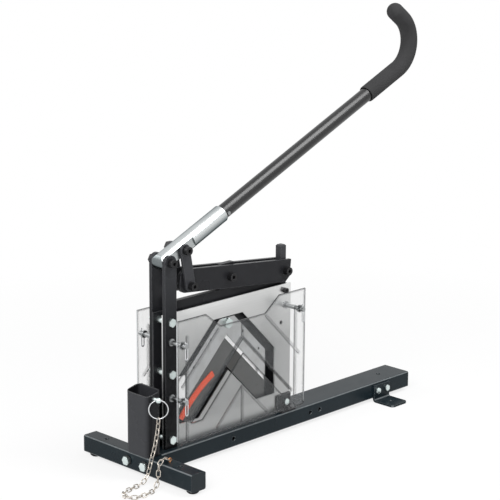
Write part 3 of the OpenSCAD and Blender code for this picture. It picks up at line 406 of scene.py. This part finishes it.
def plate_steel():
    """Brushed plate, with painted shade low down and painted light towards the top."""
    f = Finish("plate_steel")
    cloud = f.noise(5, 3)
    grain = f.noise(520, 3, (30, 1, 1))
    handling = f.ramp(f.noise(16, 6), 0.52, 0.72)
    # Painted light towards the top and painted shade low down, by height.
    painted_top_light = f.ramp(f.along("Z") * 3, 0.62, 1.0)
    turned = f.rounded(0.0008)
    painted_shade = f.mix(cloud, rgb(0.38, 0.385, 0.385), rgb(0.48, 0.485, 0.48))
    tint = f.mix(painted_top_light, painted_shade, rgb(0.82, 0.825, 0.82))
    brushed = f.mix(grain * 0.25, tint, rgb(0.36, 0.36, 0.36))
    # Edges slightly darkened: painted shade.
    return f.surface(Base_Color=f.mix(f.near_edge(turned) * 0.25, brushed, rgb(0.12, 0.12, 0.12)),
                     Metallic=1.0,
                     Roughness=0.26 + 0.10 * cloud + 0.08 * grain + 0.05 * handling,
                     Normal=f.bump(grain, 0.00003, 0.35, turned))


def blade_steel():
    f = Finish("blade_steel")
    cloud = f.noise(18, 4)
    ground = f.noise(600, 2, (1, 1, 20))
    oil = f.ramp(f.noise(35, 5), 0.5, 0.75)
    tint = f.mix(cloud, rgb(0.44, 0.45, 0.46), rgb(0.60, 0.61, 0.61))
    turned = f.rounded(0.0008)
    oiled = f.mix(oil * 0.4, tint, rgb(0.30, 0.29, 0.27))
    # Edges darkened: painted shade.
    return f.surface(Base_Color=f.mix(f.near_edge(turned) * 0.7, oiled, rgb(0.10, 0.10, 0.10)),
                     Metallic=1.0, Roughness=0.24 + 0.12 * cloud + 0.10 * ground,
                     Normal=f.bump(ground, 0.00004, 0.4, turned))


def die_steel():
    f = Finish("die_steel")
    cloud = f.noise(24, 4)
    ground = f.noise(500, 2, (1, 1, 20))
    turned = f.rounded(0.0008)
    tint = f.mix(cloud, rgb(0.075, 0.075, 0.073), rgb(0.135, 0.135, 0.132))
    # Edges paled: painted highlight.
    return f.surface(Base_Color=f.mix(f.near_edge(turned) * 0.6, tint, rgb(0.36, 0.36, 0.35)),
                     Metallic=1.0, Roughness=0.34 + 0.12 * cloud + 0.10 * ground,
                     Normal=f.bump(ground, 0.00004, 0.4, turned))


def red_strip():
    f = Finish("red_strip")
    cloud = f.noise(40, 4)
    worn = f.ramp(f.noise(140, 6), 0.62, 0.70)
    paint = f.mix(cloud, rgb(0.80, 0.060, 0.010), rgb(0.92, 0.095, 0.016))
    return f.surface(Base_Color=f.mix(worn * 0.5, paint, rgb(0.48, 0.09, 0.04)),
                     Roughness=0.34 + 0.2 * worn, Specular_IOR_Level=0.3,
                     Normal=f.bump(f.noise(500, 2), 0.00004, 0.5))


def clear_sheet():
    """Clear sheet: its faces let light through, its edges and the lines along them are painted
    dark as shade, and its cut edges looking along X carry a painted pale glint.
    """
    f = Finish("clear_sheet")
    edge = 1 - (f.size_of(f.across("Y")) > 0.9)
    cut = edge * (f.size_of(f.along("Y")) > GUARD_INNER)
    # painted_glint: the cut edges looking along X are painted pale, a painted highlight
    painted_glint = cut * (f.size_of(f.across("X")) > 0.98)
    line = f.near_edge(f.rounded(0.0085)) * (1 - edge)
    haze = f.noise(14, 5)
    scuff = f.ramp(f.noise(110, 6, (1, 1, 4)), 0.60, 0.72)
    body = f.mix(edge, rgb(0.26, 0.27, 0.275), rgb(0.025, 0.027, 0.030))
    with_painted_glint = f.mix(painted_glint, body, rgb(0.55, 0.57, 0.58))
    return f.surface(Base_Color=f.mix(line, with_painted_glint, rgb(0.02, 0.021, 0.023)),
                     Roughness=0.05 + 0.10 * haze + 0.10 * scuff,
                     Alpha=(0.08 + 0.04 * haze + 0.03 * scuff
                            + 0.24 * edge + 0.50 * cut + 0.75 * line))


def handle_coat():
    f = Finish("handle_coat")
    cloud = f.noise(14, 4)
    draw = f.noise(240, 3, (30, 1, 1), (0, -LEVER_ANGLE, 0))
    speck = f.ramp(f.noise(420, 4), 0.56, 0.70)
    streak = f.ramp(draw, 0.35, 0.65)
    steel = f.mix(streak, rgb(0.003, 0.003, 0.0033), rgb(0.007, 0.007, 0.0075))
    return f.surface(Base_Color=f.mix(speck * 0.5, steel, rgb(0.022, 0.022, 0.023)),
                     Roughness=0.26 + 0.05 * cloud + 0.05 * draw, Specular_IOR_Level=0.52,
                     Normal=f.bump(draw, 0.00002, 0.08))


def foam():
    f = Finish("foam")
    cells = f.cells(900)
    cloud = f.noise(30, 4)
    return f.surface(Base_Color=f.mix(cloud, rgb(0.026, 0.026, 0.027), rgb(0.046, 0.046, 0.047)),
                     Roughness=0.78 + 0.14 * cloud, Specular_IOR_Level=0.2,
                     Normal=f.bump(cells + 0.6 * f.noise(160, 3), 0.00025, 0.6))


def copper():
    f = Finish("copper")
    cloud = f.noise(220, 3)
    return f.surface(Base_Color=f.mix(cloud, rgb(0.55, 0.24, 0.10), rgb(0.76, 0.40, 0.20)),
                     Metallic=1.0, Roughness=0.2 + 0.15 * cloud)


FINISHES = {make.__name__: make() for make in (
    black_coat, upright_coat, cup_coat, link_coat, base_coat, black_plastic, pad_rubber,
    zinc, pin_steel, socket_zinc, bright_wire, chain_wire, black_bolt, plate_steel,
    blade_steel, die_steel, red_strip, clear_sheet, handle_coat, foam, copper)}

# Solids whose finish is a shade of their slot's
SHADES = {
    "base_tube": "base_coat", "cross_foot": "base_coat", "tail_bracket": "base_coat",
    "front_upright": "upright_coat", "rear_upright": "upright_coat", "holder_cup": "cup_coat",
    "front_link": "link_coat", "rear_link": "link_coat", "post": "link_coat",
    "left_die": "die_steel", "right_die": "die_steel",
    "guard_pins": "pin_steel", "snap_button": "pin_steel",
}


def dress_solids():
    for part in frame["record"]["subparts"]:
        finish = SHADES.get(part["node"], part["material_slot"])
        for slot in nodes[part["node"]].material_slots:
            slot.material = FINISHES[finish]


# Modelling helpers

NEAR = 1e-5


def clear_selection():
    if bpy.context.object and bpy.context.object.mode != "OBJECT":
        bpy.ops.object.mode_set(mode="OBJECT")
    bpy.ops.object.select_all(action="DESELECT")


def edit_all():
    bpy.ops.object.mode_set(mode="EDIT")
    bpy.ops.mesh.select_all(action="SELECT")


def pick(test, kind="vertices"):
    """Selects the parts of the mesh being edited whose place passes a test."""
    bpy.ops.mesh.select_mode(type={"vertices": "VERT", "polygons": "FACE"}[kind])
    bpy.ops.mesh.select_all(action="DESELECT")
    bpy.ops.object.mode_set(mode="OBJECT")
    for item in getattr(bpy.context.object.data, kind):
        item.select = test(item.co if kind == "vertices" else item.center)
    bpy.ops.object.mode_set(mode="EDIT")


def add_block(low, high):
    clear_selection()
    middle = [(a + b) / 2 for a, b in zip(low, high)]
    sides = [b - a for a, b in zip(low, high)]
    bpy.ops.mesh.primitive_cube_add(size=1, location=middle, scale=sides)
    return bpy.context.object


def add_rod(radius, low, high, sides):
    """A closed cylinder between the middles of its two ends, with its place in its mesh."""
    clear_selection()
    low, high = Vector(low), Vector(high)
    turn = (high - low).to_track_quat("Z", "Y").to_euler()
    bpy.ops.mesh.primitive_cylinder_add(vertices=sides, radius=radius, depth=(high - low).length,
                                        location=(low + high) / 2, rotation=turn)
    bpy.ops.object.transform_apply(location=True, rotation=True)
    return bpy.context.object


def cut_away(piece, tool):
    clear_selection()
    bpy.context.view_layer.objects.active = piece
    cut = piece.modifiers.new("cut", "BOOLEAN")
    cut.operation, cut.solver, cut.object = "DIFFERENCE", "EXACT", tool
    bpy.ops.object.modifier_apply(modifier=cut.name)
    bpy.data.objects.remove(tool)


def copies(source, places):
    """One mesh copy of a finished shape at each place; the source goes."""
    made = []
    for place in places:
        twin = source.copy()
        twin.data = source.data.copy()
        twin.data.transform(place)
        bpy.context.collection.objects.link(twin)
        made.append(twin)
    bpy.data.objects.remove(source)
    return made


def join(pieces, name):
    clear_selection()
    for piece in pieces:
        piece.select_set(True)
    bpy.context.view_layer.objects.active = pieces[0]
    if len(pieces) > 1:
        bpy.ops.object.join()
    pieces[0].name = pieces[0].data.name = name
    return pieces[0]


def finish_piece(piece, finish, body, replaced, angle=35):
    clear_selection()
    piece.select_set(True)
    bpy.context.view_layer.objects.active = piece
    bpy.ops.object.transform_apply(location=True, rotation=True, scale=True)
    bpy.ops.object.shade_smooth_by_angle(angle=math.radians(angle))
    piece.data.materials.clear()
    piece.data.materials.append(FINISHES[finish])
    if body:
        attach(piece, body)
    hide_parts(replaced)


# Tether chain: links along the route from the ring over the foot's edge to the eye

CHAIN_WIRE, LINK_LEN, LINK_W, LINK_SLACK = 0.0022, 0.0122, 0.0062, 0.00035
LINK_MID_R = (LINK_W + CHAIN_WIRE) / 2
CHAIN_LIE = LINK_MID_R + CHAIN_WIRE / 2
RING_LOW, PIN_X, PIN_Y = 0.1341, 0.015, -0.053
EYE_X, EYE_Y, EYE_Z, EYE_R = 0.019, -0.082, 0.0516, 0.004
LINK_SIDES, WIRE_SIDES, ROUTE_STEPS = 24, 10, 5


def chain_route():
    """A smooth curve through listed points, measured from the foot's end face."""
    hang = RING_LOW - FOOT_TOP
    foot, lie = FOOT_TOP, CHAIN_LIE
    points = [
        (PIN_X, PIN_Y, RING_LOW + 0.0012), (PIN_X - 0.002, PIN_Y, foot + 0.78 * hang),
        (0.008, PIN_Y, foot + 0.52 * hang), (0.002, PIN_Y, foot + 0.27 * hang),
        (-0.005, PIN_Y, foot + 0.006), (-0.010, PIN_Y, foot - 0.010),
        (-0.015, PIN_Y, foot - 0.024), (-0.024, PIN_Y, 0.011),
        (-0.039, PIN_Y - 0.001, lie), (-0.056, -0.056, lie), (-0.074, -0.059, lie),
        (-0.090, -0.064, lie), (-0.100, -0.075, lie), (-0.100, -0.089, lie),
        (-0.090, -0.099, lie), (-0.074, -0.102, lie), (-0.056, -0.101, lie),
        (-0.040, -0.097, lie), (-0.027, -0.092, 0.011), (-0.019, -0.088, foot - 0.022),
        (-0.016, -0.086, foot - 0.009), (-0.012, -0.084, foot + 0.005),
        (-0.003, -0.083, foot + 0.012), (0.007, -0.082, foot + 0.0125),
        (EYE_X - EYE_R + CHAIN_WIRE, EYE_Y, EYE_Z + 0.001)]
    points = [Vector((x + SHIFT_X, y, z)) for x, y, z in points]
    ends = [2 * points[0] - points[1]] + points + [2 * points[-1] - points[-2]]
    route = []
    for a, b, c, d in zip(ends, ends[1:], ends[2:], ends[3:]):
        for t in (k / ROUTE_STEPS for k in range(ROUTE_STEPS)):
            route.append(0.5 * (2 * b + (c - a) * t + (2 * a - 5 * b + 4 * c - d) * t * t
                                + (3 * b - a - 3 * c + d) * t * t * t))
    return route + [points[-1]]


def add_chain_link():
    clear_selection()
    bpy.ops.mesh.primitive_torus_add(major_radius=LINK_MID_R, minor_radius=CHAIN_WIRE / 2,
                                     major_segments=LINK_SIDES, minor_segments=WIRE_SIDES)
    link = bpy.context.object
    edit_all()
    for side in (1, -1):
        pick(lambda co: co.x * side > NEAR)
        bpy.ops.transform.translate(value=(side * (LINK_LEN - LINK_W) / 2, 0, 0))
    bpy.ops.object.mode_set(mode="OBJECT")
    return link


def add_chain():
    route = chain_route()
    runs = [0]
    for a, b in zip(route, route[1:]):
        runs.append(runs[-1] + (b - a).length)

    def along(s):
        i = max(k for k in range(len(runs) - 1) if runs[k] <= s or k == 0)
        return route[i] + (route[i + 1] - route[i]) * ((s - runs[i]) / (runs[i + 1] - runs[i]))

    count = int(runs[-1] / (LINK_LEN - 2 * LINK_SLACK))
    step = runs[-1] / count
    places = []
    for i in range(count):
        a, b = along(i * step), along((i + 1) * step)
        d = b - a
        # Every other link is a quarter turn round; where the chain lies, all lean half of that
        lean = 90 * (i % 2) + 45 * (1 - abs(d.z) / d.length)
        turn = (Matrix.Rotation(math.atan2(d.y, d.x), 4, "Z")
                @ Matrix.Rotation(-math.atan2(d.z, math.hypot(d.x, d.y)), 4, "Y")
                @ Matrix.Rotation(math.radians(lean), 4, "X"))
        places.append(Matrix.Translation((a + b) / 2) @ turn)
    chain = join(copies(add_chain_link(), places), "tether_chain_links")
    finish_piece(chain, "chain_wire", None, "tether_chain")
    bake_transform(chain)


# Foam grip: a sleeve along the handle's bend, with a soft lip and a domed end

GRIP_R, GRIP_BORE, GRIP_LIP, GRIP_SIDES = 0.0195, 0.0162, 0.004, 40
GRIP_START, BEND_START, BEND_R, GRIP_TAIL = 0.687, 0.805, 0.067, 0.029
BEND_TURN = math.radians(121)
LIP_STEPS, SLEEVE_STEPS, BEND_STEPS, TAIL_STEPS, DOME_STEPS = 6, 12, 36, 3, 8
DOME_TIP = 0.004


def draw_out(step, scale=1.0):
    bpy.ops.mesh.extrude_region_move(TRANSFORM_OT_translate={"value": step})
    if scale != 1.0:
        bpy.ops.transform.resize(value=(scale, scale, scale))


def add_grip():
    mouth = GRIP_START + GRIP_LIP
    clear_selection()
    bpy.ops.mesh.primitive_circle_add(vertices=GRIP_SIDES, radius=GRIP_BORE,
                                      location=(mouth, 0, 0), rotation=(0, math.pi / 2, 0))
    grip = bpy.context.object
    bpy.ops.object.transform_apply(location=True, rotation=True)
    edit_all()
    lip_r = (GRIP_R - GRIP_BORE) / 2
    for k in range(LIP_STEPS):
        a, b = (math.pi * i / LIP_STEPS for i in (k, k + 1))
        was, now = (GRIP_BORE + lip_r * (1 - math.cos(x)) for x in (a, b))
        draw_out((-GRIP_LIP * (math.sin(b) - math.sin(a)), 0, 0), now / was)
    for k in range(SLEEVE_STEPS):
        draw_out(((BEND_START - mouth) / SLEEVE_STEPS, 0, 0))
    bpy.ops.mesh.spin(steps=BEND_STEPS, angle=BEND_TURN, center=(BEND_START, 0, BEND_R),
                      axis=(0, 1, 0))
    ahead = Vector((math.cos(BEND_TURN), 0, math.sin(BEND_TURN)))
    for k in range(TAIL_STEPS):
        draw_out(ahead * (GRIP_TAIL / TAIL_STEPS))
    for k in range(DOME_STEPS):
        a, b = (math.pi / 2 * i / DOME_STEPS for i in (k, k + 1))
        draw_out(ahead * GRIP_R * (math.sin(b) - math.sin(a)),
                 max(math.cos(b), DOME_TIP) / math.cos(a))
    bpy.ops.mesh.merge(type="CENTER")
    pick(lambda co: abs(co.x - mouth) < NEAR and math.hypot(co.y, co.z) < GRIP_BORE + NEAR)
    bpy.ops.mesh.edge_face_add()
    bpy.ops.mesh.select_all(action="SELECT")
    bpy.ops.mesh.remove_doubles(threshold=NEAR)
    bpy.ops.mesh.normals_make_consistent(inside=False)
    bpy.ops.object.mode_set(mode="OBJECT")
    grip.data.transform(LEVER_FRAME)
    grip.name = grip.data.name = "grip_sleeve"
    finish_piece(grip, "foam", "lever", "foam_grip", 60)


# Lever socket: a tube whose lower end has flats, a rounded nose and two cross holes

SOCKET_R, SOCKET_BORE, SOCKET_TOP, SOCKET_FLOOR = 0.01905, 0.015975, 0.183, 0.088
CRANK_NOSE, CRANK_LEN, CRANK_HALF_W, CRANK_UNDER = -0.016, 0.048, 0.0156, -0.014
SHOULDER, RIM_SOFT, PIN_HOLE_R = 0.080, 0.0006, 0.00605
SOCKET_SIDES, NOSE_CUTS, CUT_PAST = 96, 16, 0.03


def add_socket():
    socket = add_rod(SOCKET_R, (CRANK_NOSE, 0, 0), (SOCKET_TOP, 0, 0), SOCKET_SIDES)
    edit_all()
    pick(lambda co: co.x > SOCKET_TOP - NEAR)
    bpy.ops.mesh.bevel(offset=RIM_SOFT, segments=2, affect="EDGES")
    nose_middle = Vector((CRANK_NOSE + SOCKET_R, 0, 0))
    for k in range(NOSE_CUTS):
        t = math.pi * (0.5 + (k + 0.5) / NOSE_CUTS)
        away = Vector((math.cos(t), 0, math.sin(t)))
        bpy.ops.mesh.select_all(action="SELECT")
        bpy.ops.mesh.bisect(plane_co=nose_middle + SOCKET_R * away, plane_no=away,
                            use_fill=True, clear_outer=True)
    bpy.ops.object.mode_set(mode="OBJECT")
    past = CUT_PAST
    cut_away(socket, add_block((-past, CRANK_HALF_W, -past), (SHOULDER, past, past)))
    cut_away(socket, add_block((-past, -past, -past), (SHOULDER, -CRANK_HALF_W, past)))
    cut_away(socket, add_block((-past, -past, -past), (SHOULDER, past, CRANK_UNDER)))
    for x in (0, CRANK_LEN):
        cut_away(socket, add_rod(PIN_HOLE_R, (x, -past, 0), (x, past, 0), SOCKET_SIDES))
    cut_away(socket, add_rod(SOCKET_BORE, (SOCKET_FLOOR, 0, 0), (SOCKET_TOP + past, 0, 0),
                             SOCKET_SIDES))
    socket.data.transform(LEVER_FRAME)
    socket.name = socket.data.name = "flatted_socket"
    finish_piece(socket, "socket_zinc", "lever", "lever_socket", 30)


# Hex bolts: chamfered heads on a washer face, and shanks

M8, M10, M12 = 0.008, 0.010, 0.012
# Shares of the thread's width, and then of the width over the flats
FLATS_SHARE, HEAD_SHARE, TIP_SHARE, TIP_RIM_SHARE = 1.7, 0.64, 0.08, 0.45
RIM_SHARE, GROOVE_SHARE = 0.05, 0.03
HEAD_SOFT, HEAD_DISH, SHANK_SIDES = 0.0003, 0.0002, 32
FOOT_WASHER, FOOT_BOLT_Y, FOOT_BOLT_LEN = 0.002, 0.0263, 0.0521
TAIL_X, TAIL_BOLT_OFFSET, TAIL_FACE_Y, TAIL_BOLT_LEN = 0.7371, 0.016, -0.0431, 0.0182
UPRIGHT_FACE_Y, UPRIGHT_BOLT_Z, UPRIGHT_BOLT_LEN = -0.024, (0.065, 0.208, 0.320), 0.059
CLIP_X, CLIP_FACE_Y, CLIP_Z, CLIP_BOLT_LEN = 0.430, 0.020, 0.0641, 0.019
APEX_X, APEX_FACE_Y, APEX_Z, APEX_BOLT_LEN = 0.252, -0.012, 0.282, 0.018


def hex_bolt(thread, shank):
    """A bolt along +Z whose head stands on Z = 0 and whose shank hangs below it."""
    flats, head, tip = FLATS_SHARE * thread, HEAD_SHARE * thread, TIP_SHARE * thread
    top = add_rod(flats / math.sqrt(3), (0, 0, 0), (0, 0, head), 6)
    edit_all()
    bpy.ops.mesh.bevel(offset=HEAD_SOFT, segments=2, affect="EDGES")
    pick(lambda co: co.z > head - NEAR, "polygons")
    bpy.ops.mesh.inset(thickness=flats * RIM_SHARE, depth=0)
    bpy.ops.transform.translate(value=(0, 0, -HEAD_DISH))
    bpy.ops.mesh.inset(thickness=flats * GROOVE_SHARE, depth=0)
    bpy.ops.transform.translate(value=(0, 0, HEAD_DISH))
    stem = add_rod(thread / 2, (0, 0, -shank), (0, 0, head / 4), SHANK_SIDES)
    edit_all()
    pick(lambda co: co.z < -shank + NEAR, "polygons")
    bpy.ops.mesh.inset(thickness=tip, depth=0)
    rim_r = TIP_RIM_SHARE * thread
    pick(lambda co: co.z < -shank + NEAR and math.hypot(co.x, co.y) > rim_r)
    bpy.ops.transform.translate(value=(0, 0, tip))
    bpy.ops.object.mode_set(mode="OBJECT")
    return join([top, stem], "bolt")


def add_bolts():
    to_front = Matrix.Rotation(math.pi / 2, 4, "X")
    to_back = Matrix.Rotation(-math.pi / 2, 4, "X")
    to_left = Matrix.Rotation(-math.pi / 2, 4, "Y")

    def at(x, y, z):
        return Matrix.Translation((x + SHIFT_X, y, z))

    sets = [
        ("foot_hex_bolts", "foot_bolts", "base", hex_bolt(M10, FOOT_BOLT_LEN),
         [at(-FOOT_WASHER, side * FOOT_BOLT_Y, FOOT_MID_Z) @ to_left for side in (-1, 1)]),
        ("tail_hex_bolts", "tail_bolts", "base", hex_bolt(M8, TAIL_BOLT_LEN),
         [at(TAIL_X + side * TAIL_BOLT_OFFSET, TAIL_FACE_Y, FOOT_MID_Z) @ to_front
          for side in (-1, 1)]),
        ("upright_hex_bolts", "upright_bolts", "base", hex_bolt(M10, UPRIGHT_BOLT_LEN),
         [Matrix.Translation((UPRIGHT_X, UPRIGHT_FACE_Y, z)) @ to_front for z in UPRIGHT_BOLT_Z]),
        ("clip_hex_bolts", "clip_bolts", "base", hex_bolt(M8, CLIP_BOLT_LEN),
         [at(CLIP_X, -CLIP_FACE_Y, CLIP_Z) @ to_front, at(CLIP_X, CLIP_FACE_Y, CLIP_Z) @ to_back]),
        ("apex_hex_bolt", "apex_bolt", "carrier", hex_bolt(M12, APEX_BOLT_LEN),
         [at(APEX_X, APEX_FACE_Y, APEX_Z) @ to_front]),
    ]
    for name, node, body, bolt, places in sets:
        finish_piece(join(copies(bolt, places), name), "zinc", body, node, 30)


# Floor and background

FLOOR_SIDE, FLOOR_NEAR_SHARE, FLOOR_FAR_SHARE = 14, 0.80, 0.20
SKY_SOFT = 0.34


def add_floor():
    clear_selection()
    bpy.ops.mesh.primitive_grid_add(x_subdivisions=4, y_subdivisions=4, size=FLOOR_SIDE,
                                    location=(0, 0, 0))
    floor = bpy.context.object
    floor.name = "floor"
    f = Finish("floor_white")
    paper = f.node("ShaderNodeBsdfDiffuse", {}, {"Color": rgb(0.93, 0.93, 0.93)})
    white = f.node("ShaderNodeEmission", {}, {"Color": rgb(1, 1, 1), "Strength": 1.0})
    point = f.node("ShaderNodeTexCoord", out="Object")
    reach = f.node("ShaderNodeVectorMath", {"operation": "LENGTH"}, {0: point}, out="Value")
    far = f.ramp(reach * 0.5, 0.25, 0.75)
    share = f.seen_rays() * (FLOOR_NEAR_SHARE + FLOOR_FAR_SHARE * far)
    shade = f.node("ShaderNodeMixShader", {}, {0: share, 1: paper, 2: white})
    f.node("ShaderNodeOutputMaterial", {}, {"Surface": shade})
    floor.data.materials.append(f.owner)


def light_world():
    f = Finish("studio", bpy.data.worlds)
    soft = f.node("ShaderNodeBackground", {}, {"Color": rgb(0.98, 0.99, 1), "Strength": SKY_SOFT})
    white = f.node("ShaderNodeBackground", {}, {"Color": rgb(1, 1, 1), "Strength": 1.0})
    sky = f.node("ShaderNodeMixShader", {}, {0: f.seen_rays(), 1: soft, 2: white})
    f.node("ShaderNodeOutputWorld", {}, {"Surface": sky})
    bpy.context.scene.world = f.owner


add_camera()
add_chain()
dress_solids()
add_grip()
add_socket()
add_bolts()
add_floor()
light_world()
for lamp_name, lamp in LAMPS.items():
    add_lamp(lamp_name, *lamp)
bpy.context.scene.view_settings.view_transform = "Standard"
